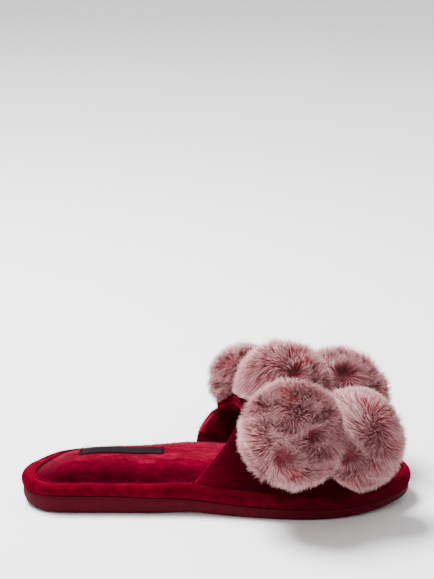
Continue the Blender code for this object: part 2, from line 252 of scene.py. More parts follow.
Plan = namedtuple("Plan", "along heel ball shift")
PLAN = (
    Plan(0.000, 0.000, 0.000, 0.085),
    Plan(0.008, 0.310, 0.000, 0.078),
    Plan(0.026, 0.525, 0.000, 0.072),
    Plan(0.060, 0.765, 0.000, 0.053),
    Plan(0.100, 0.895, 0.000, 0.032),
    Plan(0.131, 0.945, 0.000, 0.018),
    Plan(0.173, 0.980, 0.000, 0.006),
    Plan(0.225, 0.990, 0.010, -0.002),
    Plan(0.283, 0.950, 0.055, -0.008),
    Plan(0.342, 0.820, 0.180, -0.018),
    Plan(0.400, 0.620, 0.345, -0.022),
    Plan(0.447, 0.460, 0.490, -0.024),
    Plan(0.537, 0.200, 0.750, -0.016),
    Plan(0.612, 0.060, 0.915, -0.010),
    Plan(0.704, 0.000, 1.000, -0.004),
    Plan(0.781, 0.000, 0.972, 0.004),
    Plan(0.854, 0.000, 0.874, 0.010),
    Plan(0.914, 0.000, 0.705, 0.015),
    Plan(0.969, 0.000, 0.445, 0.022),
    Plan(0.990, 0.000, 0.260, 0.034),
    Plan(1.000, 0.000, 0.000, 0.045),
)
Heights = namedtuple("Heights", "along rubber rim crown")
HEIGHTS = (
    Heights(0.000, 0.66, 0.81, 0.00),
    Heights(0.030, 0.86, 0.90, 0.10),
    Heights(0.075, 1.00, 0.98, 0.60),
    Heights(0.150, 1.02, 1.00, 0.95),
    Heights(0.260, 0.98, 1.00, 1.00),
    Heights(0.360, 0.88, 1.00, 1.00),
    Heights(0.450, 0.75, 0.99, 1.00),
    Heights(0.570, 0.69, 0.92, 0.96),
    Heights(0.700, 0.60, 0.85, 0.90),
    Heights(0.830, 0.56, 0.80, 0.85),
    Heights(0.930, 0.53, 0.79, 0.55),
    Heights(0.975, 0.50, 0.79, 0.10),
    Heights(1.000, 0.48, 0.79, 0.00),
)


def smooth(rows, key, column, at):
    """The named column of a table at a key value, on a cubic curve through its rows."""
    keys = [key(row) for row in rows]
    values = [getattr(row, column) for row in rows]
    at = min(max(at, keys[0]), keys[-1])
    i = max(j for j in range(len(keys) - 1) if keys[j] <= at)

    def slope(j):
        low, high = max(j - 1, 0), min(j + 1, len(keys) - 1)
        return (values[high] - values[low]) / (keys[high] - keys[low])

    span = keys[i + 1] - keys[i]
    t = (at - keys[i]) / span
    first = (2 * t**3 - 3 * t**2 + 1) * values[i] + (t**3 - 2 * t**2 + t) * span * slope(i)
    second = (3 * t**2 - 2 * t**3) * values[i + 1] + (t**3 - t**2) * span * slope(i + 1)
    return first + second


def turn_of(along):
    return math.acos(1 - 2 * min(max(along, 0.0), 1.0)) / math.pi


def plan_at(turn):
    """(x, y of the middle, half width) of the sole's outline."""
    x = SOLE_LENGTH * (1 - math.cos(math.pi * turn)) / 2 - HEEL_SEAT
    heel, ball, shift = (smooth(PLAN, lambda row: turn_of(row.along), c, turn) for c in ("heel", "ball", "shift"))
    return x, -shift * BALL_WIDTH, (heel * HEEL_WIDTH + ball * BALL_WIDTH) / 2


def underside(x):
    along = (x + HEEL_SEAT) / SOLE_LENGTH
    toe = max(0.0, (along - 0.71) / 0.29)
    heel = max(0.0, (0.07 - along) / 0.07)
    waist = min(max((along - 0.32) / 0.24, 0.0), 1.0)
    return TOE_SPRING * toe**2 + HEEL_SPRING * heel**2 + ARCH_LIFT * math.sin(math.pi * waist) ** 2


def height_at(x, column):
    return smooth(HEIGHTS, lambda row: row.along, column, (x + HEEL_SEAT) / SOLE_LENGTH)


def rubber_top(x):
    return underside(x) + RUBBER_HEIGHT * height_at(x, "rubber")


def rim_top(x):
    return underside(x) + RIM_HEIGHT * height_at(x, "rim")


STATIONS = 72


def heel_share(x):
    """1 at the back of the heel, fading to 0 over its first 30 mm."""
    return max(0.0, 1 - (x + HEEL_SEAT) / 0.030) ** 1.5


def outline(inset, stations=STATIONS, heel_extra=0.0):
    """The sole's outline moved in by an inset, more at the heel: heel end, inner side, toe end, outer side."""
    sides = [plan_at(k / stations) for k in range(stations + 1)]
    points = [Vector((x, mid - half, 0)) for x, mid, half in sides]
    points += [Vector((x, mid + half, 0)) for x, mid, half in reversed(sides[1:-1])]
    moved = []
    for i, point in enumerate(points):
        way = points[(i + 1) % len(points)] - points[i - 1]
        moved.append(point + Vector((-way.y, way.x, 0)).normalized() * (inset + heel_extra * heel_share(point.x)))
    return moved


def level(inset, height, heel_extra=0.0):
    return [Vector((p.x, p.y, height(p.x))) for p in outline(inset, STATIONS, heel_extra)]


print("sole: %.0f mm long, %.1f mm wide at the ball" % (SOLE_LENGTH * 1000, BALL_WIDTH * 1000))


# %% [markdown]
# ## Lofting with loops
#
# A shape that changes slowly from one section to the next is a loft: draw each section as a loop of points,
# then bridge each loop to the next. A circle of vertices is moved into each section's place, and Bridge Edge
# Loops skins them, which leaves clean rows of quads for smooth shading.

# %% Loops, bridges and caps
def lay_loop(bm, places):
    """A circle of vertices moved onto these places. Returns its vertices in order."""
    made = bmesh.ops.create_circle(bm, cap_ends=False, radius=1.0, segments=len(places))["verts"]
    for v, place in zip(made, places):
        v.co = place
    return made


def edges_of(verts):
    near = set(verts)
    return list({e for v in verts for e in v.link_edges if e.other_vert(v) in near})


def bridge(bm, loops):
    rings = [edges_of(verts) for verts in loops]
    for low, high in zip(rings, rings[1:]):
        bmesh.ops.bridge_loops(bm, edges=low + high)


def cap_across(bm, verts):
    """Closes a sole's loop with strips from its inner side to its outer side."""
    half = len(verts) // 2
    inner, outer = verts[1:half], verts[half + 1 :]
    bmesh.ops.bridge_loops(bm, edges=edges_of(inner) + edges_of(outer))
    bmesh.ops.contextual_create(bm, geom=[verts[0], verts[1], verts[-1]])
    bmesh.ops.contextual_create(bm, geom=[verts[half - 1], verts[half], verts[half + 1]])


def finish_piece(name, bm, materials, replaced=()):
    """A shaded object in its place, riding on the slipper."""
    bmesh.ops.recalc_face_normals(bm, faces=bm.faces[:])
    mesh = bpy.data.meshes.new(name)
    bm.to_mesh(mesh)
    bm.free()
    made = bpy.data.objects.new(name, mesh)
    bpy.context.scene.collection.objects.link(made)
    for material in materials:
        mesh.materials.append(material)
    mesh.shade_smooth()
    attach(made, "root")
    if replaced:
        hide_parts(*replaced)
    print("%s: %d faces" % (name, len(mesh.polygons)))
    return made


# %% [markdown]
# ## The outsole
#
# The real outsole is one moulding, with a rounded bottom edge, smooth sides and shallow grooves across its
# underside. A loft gives the body, and a Boolean cuts the grooves, as the mould's ribs would leave them.

# %% Outsole
TREAD_PITCH = 0.0085
TREAD_GROOVE = 0.0026
TREAD_DEPTH = 0.0011
TREAD_BORDER = 0.010


def tread_cutter():
    bm = bmesh.new()
    for first, last in ((0.055, 0.291), (0.57, 0.90)):
        count = int((last - first) * SOLE_LENGTH / TREAD_PITCH / 2) * 2
        middle = (first + last) / 2 * SOLE_LENGTH - HEEL_SEAT
        for k in range(count):
            x = middle + (k - (count - 1) / 2) * TREAD_PITCH
            _, mid, half = plan_at(turn_of((x + HEEL_SEAT) / SOLE_LENGTH))
            box = bmesh.ops.create_cube(bm, size=1.0)["verts"]
            bmesh.ops.scale(bm, verts=box, vec=(TREAD_GROOVE, 2 * (half - TREAD_BORDER), 2 * TREAD_DEPTH))
            bmesh.ops.translate(bm, verts=box, vec=(x, mid, underside(x)))
    mesh = bpy.data.meshes.new("tread_cutter")
    bm.to_mesh(mesh)
    bm.free()
    cutter = bpy.data.objects.new("tread_cutter", mesh)
    bpy.context.scene.collection.objects.link(cutter)
    cutter.hide_render = True
    cutter.display_type = "WIRE"
    return cutter


def make_outsole():
    bm = bmesh.new()
    loops = []
    for k in range(7):
        turn = math.pi / 2 * k / 6
        inset = RUBBER_STEP + RUBBER_ROUNDING * (1 - math.sin(turn))
        rise = RUBBER_ROUNDING * (1 - math.cos(turn))
        loops.append(lay_loop(bm, level(inset, lambda x: underside(x) + rise)))
    for share in (0.5, 0.93):
        loops.append(lay_loop(bm, level(RUBBER_STEP, lambda x: underside(x) + RUBBER_ROUNDING + (
            rubber_top(x) - underside(x) - RUBBER_ROUNDING) * share)))
    loops.append(lay_loop(bm, level(RUBBER_STEP + 0.0004, rubber_top)))
    bridge(bm, loops)
    cap_across(bm, loops[0])
    cap_across(bm, loops[-1])
    made = finish_piece("rubber_outsole", bm, [rubber], ["outsole"])
    cut = made.modifiers.new("tread", "BOOLEAN")
    cut.operation = "DIFFERENCE"
    cut.object = tread_cutter()
    return made


outsole = make_outsole()


# %% [markdown]
# ## The velvet platform
#
# Foam is wrapped in velvet and stuck to the rubber, and the wrap rolls over into a soft rim round the footbed.
# The roll is a loft whose sections follow half a circle. The wrap bulges a little over the rubber and is never
# quite even by hand, so each loop wanders by a few tenths of a millimetre.

# %% Platform
def wander(point, size_mm, reach_mm):
    """A soft unevenness of the given size, up to about the given reach."""
    return noise.noise(point * (1000 / size_mm)) * reach_mm * MM


SEAM_DEPTH = 0.0030


def make_platform():
    bm = bmesh.new()
    loops = [lay_loop(bm, level(RUBBER_STEP + RIM_ROLL, lambda x: rubber_top(x) + GAP))]
    steps = 14
    for k in range(steps + 1):
        turn = math.pi * (k / steps - 0.5)
        inset = (RUBBER_STEP if turn < 0 else RIM_ROLL) * (1 - math.cos(turn))
        share = 0.03 + 0.97 * (1 + math.sin(turn)) / 2
        places = level(inset, lambda x: rubber_top(x) + GAP + (rim_top(x) - rubber_top(x) - GAP) * share)
        for p in places:
            p.z += wander(p, 17, 0.25) * share
            p.y += wander(p + Vector((0.3, 0, 0)), 13, 0.25) * (1 if p.y > 0 else -1)
        loops.append(lay_loop(bm, places))
    for inset, drop in ((0.50, 0.0), (0.80, 0.0002), (0.95, 0.0008), (1.02, SEAM_DEPTH)):
        places = level(RIM_WIDTH * inset, rim_top, HEEL_EXTRA * inset)
        for p in places:
            p.z += wander(p, 17, 0.25) - drop
        loops.append(lay_loop(bm, places))
    loops.append(lay_loop(bm, level(RIM_WIDTH + GAP, lambda x: rubber_top(x) + 0.003, HEEL_EXTRA)))
    bridge(bm, loops)
    cap_across(bm, loops[0])
    cap_across(bm, loops[-1])
    made = finish_piece("velvet_platform", bm, [rim_velvet], ["midsole"])
    return made


platform = make_platform()


# %% [markdown]
# ## The footbed
#
# A slab of soft foam in plush, sewn into the rim, puffs up like a pillow: steep at the seam and nearly flat on
# top. A grid is laid over the sole's plan, and each point rises by how far it lies from the seam. The label's
# stitches pull a shallow dip into it, and a little wander keeps the pile from looking machined.

# %% Footbed
PAD_CROWN = 0.0088
PAD_SHOULDER = 0.023
LABEL_LENGTH = 0.056
LABEL_WIDTH = 0.011
LABEL_X = 0.255 * SOLE_LENGTH - HEEL_SEAT
LABEL_Y = 0.0060
seam_points = np.array([p[:2] for p in outline(RIM_WIDTH, 200, HEEL_EXTRA)])


def pad_height(x, y):
    """Height of the footbed at a place: the seam, plus the puff that grows away from it."""
    off = float(np.sqrt(((seam_points - (x, y)) ** 2).sum(1)).min())
    share = min(off / PAD_SHOULDER, 1.0)
    puff = (1 - (1 - share) ** 2) ** 0.75
    seam = rim_top(x) - SEAM_DEPTH * 0.8
    z = seam + (rim_top(x) - RIM_DROP + PAD_CROWN * height_at(x, "crown") - seam) * puff
    end = min(abs(x - LABEL_X - LABEL_LENGTH / 2), abs(x - LABEL_X + LABEL_LENGTH / 2))
    pull = math.exp(-((end / 0.006) ** 2)) * math.exp(-(((y - LABEL_Y) / 0.011) ** 2))
    return z + (wander(Vector((x, y, 0)), 24, 0.5) + wander(Vector((x, y, 5)), 9, 0.22)) * puff - 0.0007 * pull


def make_footbed():
    bm = bmesh.new()
    rows, columns = 150, 48
    bmesh.ops.create_grid(bm, x_segments=rows, y_segments=columns, size=0.5)
    x0, x1 = min(p.x for p in inset_outline), max(p.x for p in inset_outline)
    for v in bm.verts:
        x = x0 + (x1 - x0) * (1 - math.cos(math.pi * (v.co.x + 0.5))) / 2
        reach = edge_reach(x)
        across = math.sin(v.co.y * math.pi)
        v.co = Vector((x, reach[0] + (reach[1] - reach[0]) * (across + 1) / 2, 0))
    bmesh.ops.remove_doubles(bm, verts=bm.verts[:], dist=0.00002)
    for v in bm.verts:
        v.co.z = pad_height(v.co.x, v.co.y)
    skirt = bmesh.ops.extrude_edge_only(bm, edges=[e for e in bm.edges if e.is_boundary])["geom"]
    low = [v for v in skirt if isinstance(v, bmesh.types.BMVert)]
    for v in low:
        v.co.z = rubber_top(v.co.x) + 0.0035
    bmesh.ops.holes_fill(bm, edges=[e for e in bm.edges if e.is_boundary])
    made = finish_piece("plush_footbed", bm, [footbed_plush], ["insole"])
    return made


inset_outline = outline(RIM_WIDTH - 0.0004, 300, HEEL_EXTRA)


def edge_reach(x):
    """(inner, outer) y of the footbed's edge at x."""
    half = len(inset_outline) // 2
    inner, outer = inset_outline[: half + 1], inset_outline[half:] + inset_outline[:1]
    return (
        float(np.interp(x, [p.x for p in inner], [p.y for p in inner])),
        float(np.interp(x, [p.x for p in reversed(outer)], [p.y for p in reversed(outer)])),
    )


footbed = make_footbed()


# %% [markdown]
# ## The woven label
#
# A black damask tape is folded under at both ends and tacked down on the footbed with dark thread. It drapes
# over the crown of the pad and bows up a little between its stitches. A flat grid is bent onto the pad and
# given its thickness. The tape stays blank.

# %% Label
def woven_tape():
    """Polyester damask: fine ribs across the tape, crossed by finer threads, with a slight satin shine."""
    material, shader = new_material("black_damask_tape", 0.8)
    shader.inputs["Base Color"].default_value = linear("#140a0f")
    shader.inputs["Specular IOR Level"].default_value = 0.06
    place = add(material, "ShaderNodeTexCoord")
    ribs = [
        add(
            material, "ShaderNodeTexWave", [(place, "Object", "Vector")],
            {"Scale": 2 * math.pi / (20 * pitch * MM), "Distortion": 0.3}, wave_type="BANDS", bands_direction=way,
        )
        for way, pitch in (("X", 0.55), ("Y", 0.38))
    ]
    both = add(
        material, "ShaderNodeMath", [(ribs[0], "Fac", 0), (ribs[1], "Fac", 1)], operation="ADD"
    )
    bump = add(material, "ShaderNodeBump", [(both, "Value", "Height")], {"Strength": 0.5, "Distance": 0.12 * MM})
    material.node_tree.links.new(bump.outputs["Normal"], shader.inputs["Normal"])
    return material


tape = woven_tape()
thread_black, thread_shader = new_material("black_sewing_thread", 0.6)
thread_shader.inputs["Base Color"].default_value = linear("#12070b")
thread_shader.inputs["Specular IOR Level"].default_value = 0.1


def on_label(along, across, lift=0.0):
    """A place on the label, from -1 to 1 along and across."""
    x, y = LABEL_X + along * LABEL_LENGTH / 2, LABEL_Y + across * LABEL_WIDTH / 2
    bow = 0.0007 * (1 - along**2) * (1 - 0.5 * across**2)
    return Vector((x, y, pad_height(x, y) + 0.0006 + bow + lift))


def make_label():
    bm = bmesh.new()
    bmesh.ops.create_grid(bm, x_segments=48, y_segments=10, size=1.0)
    for v in bm.verts:
        v.co = on_label(v.co.x, v.co.y)
    bmesh.ops.solidify(bm, geom=bm.faces[:], thickness=0.0005)
    return finish_piece("woven_label", bm, [tape], ["label"])


def tube(bm, points, radius):
    """A thread through these points: small loops square to its way, bridged one to the next."""
    loops = []
    for i, point in enumerate(points):
        way = (points[min(i + 1, len(points) - 1)] - points[max(i - 1, 0)]).to_track_quat("Z", "Y")
        ring = [point + way @ Vector((math.cos(t), math.sin(t), 0)) * radius for t in np.arange(6) * math.pi / 3]
        loops.append(lay_loop(bm, ring))
    bridge(bm, loops)
    for end in (loops[0], loops[-1]):
        bmesh.ops.contextual_create(bm, geom=edges_of(end))


def make_tacks():
    """Tack stitches over both ends of the label, and the loose end of their thread."""
    bm = bmesh.new()
    for end in (-1, 1):
        for across in np.linspace(-0.86, 0.86, 6):
            places = (end * (0.955 + k * 0.06 / 4) for k in range(5))
            arch = [on_label(a, across, 0.0004 * math.sin(math.pi * k / 4)) for k, a in enumerate(places)]
            tube(bm, arch, 0.00016)
    loose = ((-0.97, 0.95, 0.0), (-0.94, 1.35, 0.0012), (-0.88, 1.50, 0.0016), (-0.76, 1.46, 0.0008))
    tube(bm, [on_label(*place) for place in loose], 0.00016)
    return finish_piece("label_tack_thread", bm, [thread_black])


label, tacks = make_label(), make_tacks()


# %% [markdown]
# ## The crossed straps
#
# Two padded velvet straps cross over the foot and are sewn to the rim inside the wrap. Where they cross, the
# top one laps over the other. They are drawn as sections: each section runs from the throat to the toe along
# the lining, turns round a soft edge and comes back along the outside, and the sections are laid from the
# inner rim over the foot to the outer rim. A thin wadding makes the outside puff between its edges.

# %% Straps
INSTEP_HEIGHT = 0.0435
STRAP_WALL = 0.0032
STRAP_LAP = 0.0022
STRAP_INSET = 0.0055
ARCH_POWER = 2.6
CREST_LEAN = 0.10
Edge = namedtuple("Edge", "inner crest outer hug")
THROAT_EDGE = Edge(0.448, 0.567, 0.447, 1.5)
TOE_EDGE = Edge(0.885, 0.760, 0.850, 1.0)
TOP_STRAP_REAR = 0.720
TOP_STRAP_FRONT = 0.640
Instep = namedtuple("Instep", "along crest")
INSTEP = (Instep(0.42, 1.04), Instep(0.57, 0.97), Instep(0.68, 0.84), Instep(0.78, 0.70), Instep(0.88, 0.60))


def edge_along(edge, angle):
    """Where an edge of the straps lies at an angle round the arch, as a share of the sole's length."""
    rise = math.sin(angle) ** (2 / ARCH_POWER)
    if angle < math.pi / 2:
        return edge.inner + (edge.crest - edge.inner) * rise
    return edge.outer + (edge.crest - edge.outer) * rise**edge.hug


def top_strap(angle):
    """(rear, front) of the top strap at an angle round the arch, as shares of the sole's length."""
    rear = edge_along(THROAT_EDGE, angle) + (TOP_STRAP_REAR - THROAT_EDGE.inner) * math.cos(angle / 2) ** 8
    front = edge_along(TOE_EDGE, angle) - (TOE_EDGE.outer - TOP_STRAP_FRONT) * math.sin(angle / 2) ** 8
    return rear, front


def lining_point(along, angle):
    """A point of the straps' inner face: an arch from rim to rim, its crest leaning to the inner side."""
    x, mid, half = plan_at(turn_of(along))
    reach = half - STRAP_INSET - STRAP_WALL / 2
    crest = INSTEP_HEIGHT * smooth(INSTEP, lambda row: row.along, "crest", along)
    across = math.copysign(abs(math.cos(angle)) ** (2 / ARCH_POWER), math.cos(angle))
    rise = math.sin(angle) ** (2 / ARCH_POWER)
    return Vector((x, mid - reach * (across + CREST_LEAN * rise**3), rim_top(x) + GAP + crest * rise))


def strap_normal(along, angle):
    step = 0.002
    lengthwise = lining_point(along + step, angle) - lining_point(along - step, angle)
    low, high = max(angle - step, 0.0), min(angle + step, math.pi)
    return lengthwise.cross(lining_point(along, high) - lining_point(along, low)).normalized()


def rounded(distance, radius):
    """How full a padded edge is at a distance from it: 0 at the edge, 1 beyond the radius."""
    share = min(max(distance / radius, 0.0), 1.0)
    return math.sqrt(1 - (1 - share) ** 2)


def strap_thickness(along, angle):
    throat, toe = edge_along(THROAT_EDGE, angle), edge_along(TOE_EDGE, angle)
    rear, front = top_strap(angle)
    free = min(along - throat, toe - along) * SOLE_LENGTH
    thick = STRAP_WALL * (0.30 + 0.70 * rounded(free, 0.0030))
    lapped = min(along - rear, front - along) * SOLE_LENGTH
    thick += STRAP_LAP * rounded(lapped, 0.0030)
    return thick * (0.35 + 0.65 * rounded(free + 0.0004, 0.0014))


FOLD_ANGLE, FOLD_TILT = math.radians(150), math.radians(1500)


def step_up(value, low, high):
    """Smooth step from 0 at the low value to 1 at the high one."""
    t = min(max((value - low) / (high - low), 0.0), 1.0)
    return t * t * (3 - 2 * t)


def far_arm(angle, free):
    """How the two cushions of the far arm, either side of its fold, move its edge, its outside and its lining."""
    fold = FOLD_ANGLE + FOLD_TILT * free
    upper = step_up(fold - angle, 0.0, math.radians(9)) * step_up(angle, math.radians(75), math.radians(112))
    lower = step_up(angle - fold, 0.0, math.radians(6)) * step_up(-angle, -math.pi, -math.radians(171))
    edge, inner = math.exp(-((free / 0.009) ** 2)), math.exp(-((free / 0.020) ** 2))
    return (
        MM * (3.4 * upper + 0.9 * lower) * edge,
        MM * (3.4 * upper + 1.2 * lower) * rounded(free, 0.007) * inner,
        MM * (3.0 * upper + 2.6 * lower) * rounded(free, 0.006) * inner,
    )


SECTION = 56
ANGLES = [math.pi * (k / 96) for k in range(97)]


def strap_place(along, angle, outside):
    place = lining_point(along, angle)
    normal = strap_normal(along, angle)
    free = (along - edge_along(THROAT_EDGE, angle)) * SOLE_LENGTH
    back, outer, inner = far_arm(angle, free)
    place.x -= back
    foot = min(math.sin(angle) * 2.5, 1.0)
    crease = (wander(place, 11, 0.45) + wander(place + Vector((1, 0, 0)), 5, 0.16)) * foot
    if outside:
        return place + normal * (strap_thickness(along, angle) + crease + outer)
    return place + normal * (crease * 0.8 - 0.0002 * foot - inner)


def make_straps():
    bm = bmesh.new()
    loops, inside = [], set()
    for angle in ANGLES:
        throat, toe = edge_along(THROAT_EDGE, angle), edge_along(TOE_EDGE, angle)
        steps = [(1 - math.cos(math.pi * (k + 0.5) / SECTION)) / 2 for k in range(SECTION)]
        alongs = [throat + (toe - throat) * s for s in steps]
        section = [strap_place(a, angle, False) for a in alongs]
        section += [strap_place(a, angle, True) for a in reversed(alongs)]
        loops.append(lay_loop(bm, section))
        inside.update(loops[-1][:SECTION])
    bridge(bm, loops)
    for face in bm.faces:
        face.material_index = int(all(v in inside for v in face.verts))
    bmesh.ops.holes_fill(bm, edges=[e for e in bm.edges if e.is_boundary])
    made = finish_piece("crossed_straps", bm, [strap_velvet, lining_plush], ["upper"])
    return made


straps = make_straps()


# %% [markdown]
# ## Fur strands from arrays
#
# Faux fur is a knitted backing with soft acrylic hairs, dyed dark at the root and frosted pale at the tip.
# One hair is a tapered three-sided strand of two lengths. A pompom needs many thousands, so they are made
# together from arrays, with a seeded random source so that each build gives the same fur. Each strand carries
# its own UV: across is its tone, and along is the way from root to tip, which the dye follows.

# %% Strand builder
def strand_mesh(name, rings, tip, thick, tone):
    """Three-sided tapered strands as one mesh: a ring of three at each of the places given, and a point."""
    count, levels = len(tip), len(rings)
    way = tip - rings[0]
    side = unit(np.cross(way, np.roll(way, 1, axis=1) + (0.0001, 0.0002, 0.0003)))
    other = unit(np.cross(way, side))
    corner_count = 3 * levels + 1
    points = np.empty((count, corner_count, 3), np.float32)
    for level, place in enumerate(rings):
        for k in range(3):
            turn = 2 * math.pi * k / 3
            out = (side * math.cos(turn) + other * math.sin(turn)) * thick[:, None]
            points[:, 3 * level + k] = place + out * (1.0 if level else 0.8)
    points[:, -1] = tip
    faces = []
    for level in range(levels - 1):
        low = 3 * level
        faces += [(low + k, low + (k + 1) % 3, low + 3 + (k + 1) % 3, low + 3 + k) for k in range(3)]
    last = 3 * (levels - 1)
    faces += [(last + k, last + (k + 1) % 3, corner_count - 1) for k in range(3)] + [(2, 1, 0)]
    corners = np.array([c for face in faces for c in face])
    starts = np.cumsum([0] + [len(face) for face in faces[:-1]])
    strand = np.arange(count)[:, None]
    mesh = bpy.data.meshes.new(name)
    mesh.vertices.add(count * corner_count)
    mesh.vertices.foreach_set("co", points.ravel())
    mesh.loops.add(count * len(corners))
    mesh.loops.foreach_set("vertex_index", (corners + corner_count * strand).ravel().astype(np.int32))
    mesh.polygons.add(count * len(faces))
    mesh.polygons.foreach_set("loop_start", (starts + len(corners) * strand).ravel().astype(np.int32))
    mesh.update(calc_edges=True)
    along = np.array([0.0, 0.0, 0.03] + [0.55, 0.55, 0.58] * (levels - 1) + [1.0])
    across = np.array([0.0, 0.01, 0.02] * levels + [0.01])
    uv = np.empty((count, len(corners), 2), np.float32)
    uv[:, :, 0] = (0.02 + 0.92 * tone)[:, None] + across[corners]
    uv[:, :, 1] = along[corners]
    mesh.uv_layers.new(name="OFBake").data.foreach_set("uv", uv.ravel())
    mesh.validate()
    mesh.shade_smooth()
    return mesh


def unit(rows):
    return rows / (np.linalg.norm(rows, axis=1, keepdims=True) + 1e-12)


def ride_mesh(name, mesh, material, replaced=()):
    made = bpy.data.objects.new(name, mesh)
    bpy.context.scene.collection.objects.link(made)
    mesh.materials.append(material)
    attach(made, "root")
    if replaced:
        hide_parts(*replaced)
    print("%s: %d faces" % (name, len(mesh.polygons)))
    return made


BARE = 1.04


def dyed_hair(name, stops, dull, sheen, tint, roughness=0.6, bare="#8c0c1e"):
    """Acrylic hair: dyed from root to tip, and each hair a little darker or paler than the next.

    Hairs whose tone is BARE missed the frosting, and keep the dark dye up to their tips.
    """
    material, shader = new_material(
        name, roughness, Sheen_Weight=sheen, Sheen_Roughness=0.5, Sheen_Tint=linear(tint), IOR=1.5
    )
    shader.inputs["Specular IOR Level"].default_value = sheen / 2
    place = add(material, "ShaderNodeUVMap", uv_map="OFBake")
    split = add(material, "ShaderNodeSeparateXYZ", [(place, "UV", "Vector")])
    dye = ramp(material, split, "Y", stops)
    shade = add(material, "ShaderNodeMapRange", [(split, "X", "Value")], {"To Min": dull, "To Max": 1.0})
    dyed = add(
        material, "ShaderNodeVectorMath", [(dye, "Color", "Vector"), (shade, "Result", "Scale")], operation="SCALE"
    )
    missed = add(material, "ShaderNodeMapRange", [(split, "X", "Value")], {"From Min": 0.965, "From Max": 0.970})
    final = add(
        material, "ShaderNodeMix", [(missed, "Result", "Factor"), (dyed, "Vector", "A"), (missed, "Result", "Factor")],
        data_type="RGBA",
    )
    final.inputs["B"].default_value = linear(bare)
    material.node_tree.links.new(final.outputs["Result"], shader.inputs["Base Color"])
    return material


fur = dyed_hair(
    "frosted_acrylic_fur",
    ((0.0, "#900a20"), (0.35, "#9c3040"), (0.58, "#ba6c74"), (0.78, "#dca0a0"), (1.0, "#edbcba")),
    dull=0.50, sheen=0.35, tint="#f3c8c8",
)
backing, backing_shader = new_material("ruby_knitted_backing", 0.95)
backing_shader.inputs["Base Color"].default_value = linear("#5e1620")


# %% [markdown]
# ## The pompoms
#
# A pompom is a gathered ball of fur about 74 mm across, tied to the straps. Its hairs stand out from a small
# core, gather into tufts, and lean the way the ball was stroked, so that partings open here and there and
# show the dark roots. Where a ball meets its neighbour or the strap, its hairs are pressed aside.

# %% Pompom places and walls
POMPOM_RADIUS = 0.0368
Pompom = namedtuple("Pompom", "name along across above wide deep tall give fluff hairs")
POMPOMS = (
    Pompom("inner_rear", 0.689, -0.528, 1.441, 1.01, 1.00, 1.02, 0.15, 0.980, 19500),
    Pompom("inner_front", 0.839, -0.426, 1.260, 0.97, 0.80, 0.97, 0.85, 1.000, 18500),
    Pompom("top", 0.672, 0.000, 1.726, 0.93, 0.93, 0.93, 0.50, 1.000, 15500),
    Pompom("outer_rear", 0.576, 0.457, 1.500, 0.69, 0.86, 0.67, 1.00, 1.075, 9000),
    Pompom("outer_front", 0.820, 0.457, 1.175, 1.01, 0.99, 1.01, 1.00, 1.045, 14000),
)
FACING = (Vector((1, 0, 0)), Vector((0, 0.292, 0.956)), Vector((0, -0.956, 0.292)))
Parting = namedtuple("Parting", "name right up size push turn")
PARTINGS = (
    Parting("inner_rear", -0.16, 0.80, 0.130, 0.0, 0.0),
    Parting("inner_rear", -0.04, 0.68, 0.115, 0.0, 0.0),
    Parting("inner_rear", 0.06, -0.62, 0.105, 0.0, 0.0),
    Parting("inner_rear", 0.02, -0.76, 0.120, 0.0, 0.0),
    Parting("inner_rear", -0.25, -0.42, 0.50, 0.07, 0.30),
    Parting("inner_rear", 0.40, 0.02, 0.30, 0.05, -0.20),
    Parting("inner_front", -0.07, -0.33, 0.50, 0.10, 0.25),
    Parting("top", 0.41, 0.78, 0.120, 0.0, 0.0),
    Parting("top", 0.46, 0.62, 0.105, 0.0, 0.0),
    Parting("top", 0.20, 0.40, 0.45, 0.07, 0.25),
    Parting("outer_front", 0.10, 0.58, 0.45, 0.08, -0.30),
)


def middle_of(row):
    return Vector((row.along * SOLE_LENGTH - HEEL_SEAT, row.across * BALL_WIDTH, row.above * INSTEP_HEIGHT))


def reach_of(row, way):
    return POMPOM_RADIUS / Vector((way.x / row.wide, way.y / row.deep, way.z / row.tall)).length


strap_face = np.array([
    lining_point(a, angle) + strap_normal(a, angle) * strap_thickness(a, angle)
    for angle in ANGLES[::3]
    for a in np.linspace(edge_along(THROAT_EDGE, angle), edge_along(TOE_EDGE, angle), 22)
])
sole_face = np.array([
    v.co for piece in (platform, footbed) for v in piece.data.vertices
    if v.co.z > rubber_top(v.co.x) + 0.004
])


def near_wall(row, towards, points):
    """How far a flat wall stands from a pompom's middle, clear of the points inside it."""
    offset = points - np.array(middle_of(row))
    depth = offset @ np.array(towards)
    close = depth[(depth > 0) & (np.linalg.norm(offset, axis=1) < POMPOM_RADIUS)]
    return float(close.min()) - GAP if len(close) else 2 * POMPOM_RADIUS


def walls_of(row):
    """The flat walls that a pompom rests against: the strap under it, and the sole."""
    middle, walls = middle_of(row), []
    for face in (strap_face, sole_face):
        nearest = Vector(face[np.linalg.norm(face - np.array(middle), axis=1).argmin()])
        inwards = (nearest - middle).normalized()
        walls.append((inwards, near_wall(row, inwards, face) + 0.002))
    return walls


def depth_in(row, points):
    """How deep points lie in a pompom: 0 at its middle, 1 at its surface, more outside."""
    return np.linalg.norm((points - np.array(middle_of(row))) / (np.array((row.wide, row.deep, row.tall))
                          * POMPOM_RADIUS), axis=1)


def yield_to(row, root, middle, tip):
    """Hairs cut short where they run into a firmer pompom. Returns them, and which of them are left."""
    left = np.ones(len(root), bool)
    for other in POMPOMS:
        if other.give < row.give:
            share = np.ones(len(root))
            for step in np.linspace(1.0, 0.1, 19):
                inside = depth_in(other, root + (tip - root) * step) < 0.92
                share = np.where(inside, step - 0.05, share)
            left &= depth_in(other, root) > 0.78
            tip = root + (tip - root) * share[:, None]
            middle = root + (middle - root) * share[:, None]
    return root[left], middle[left], tip[left], left


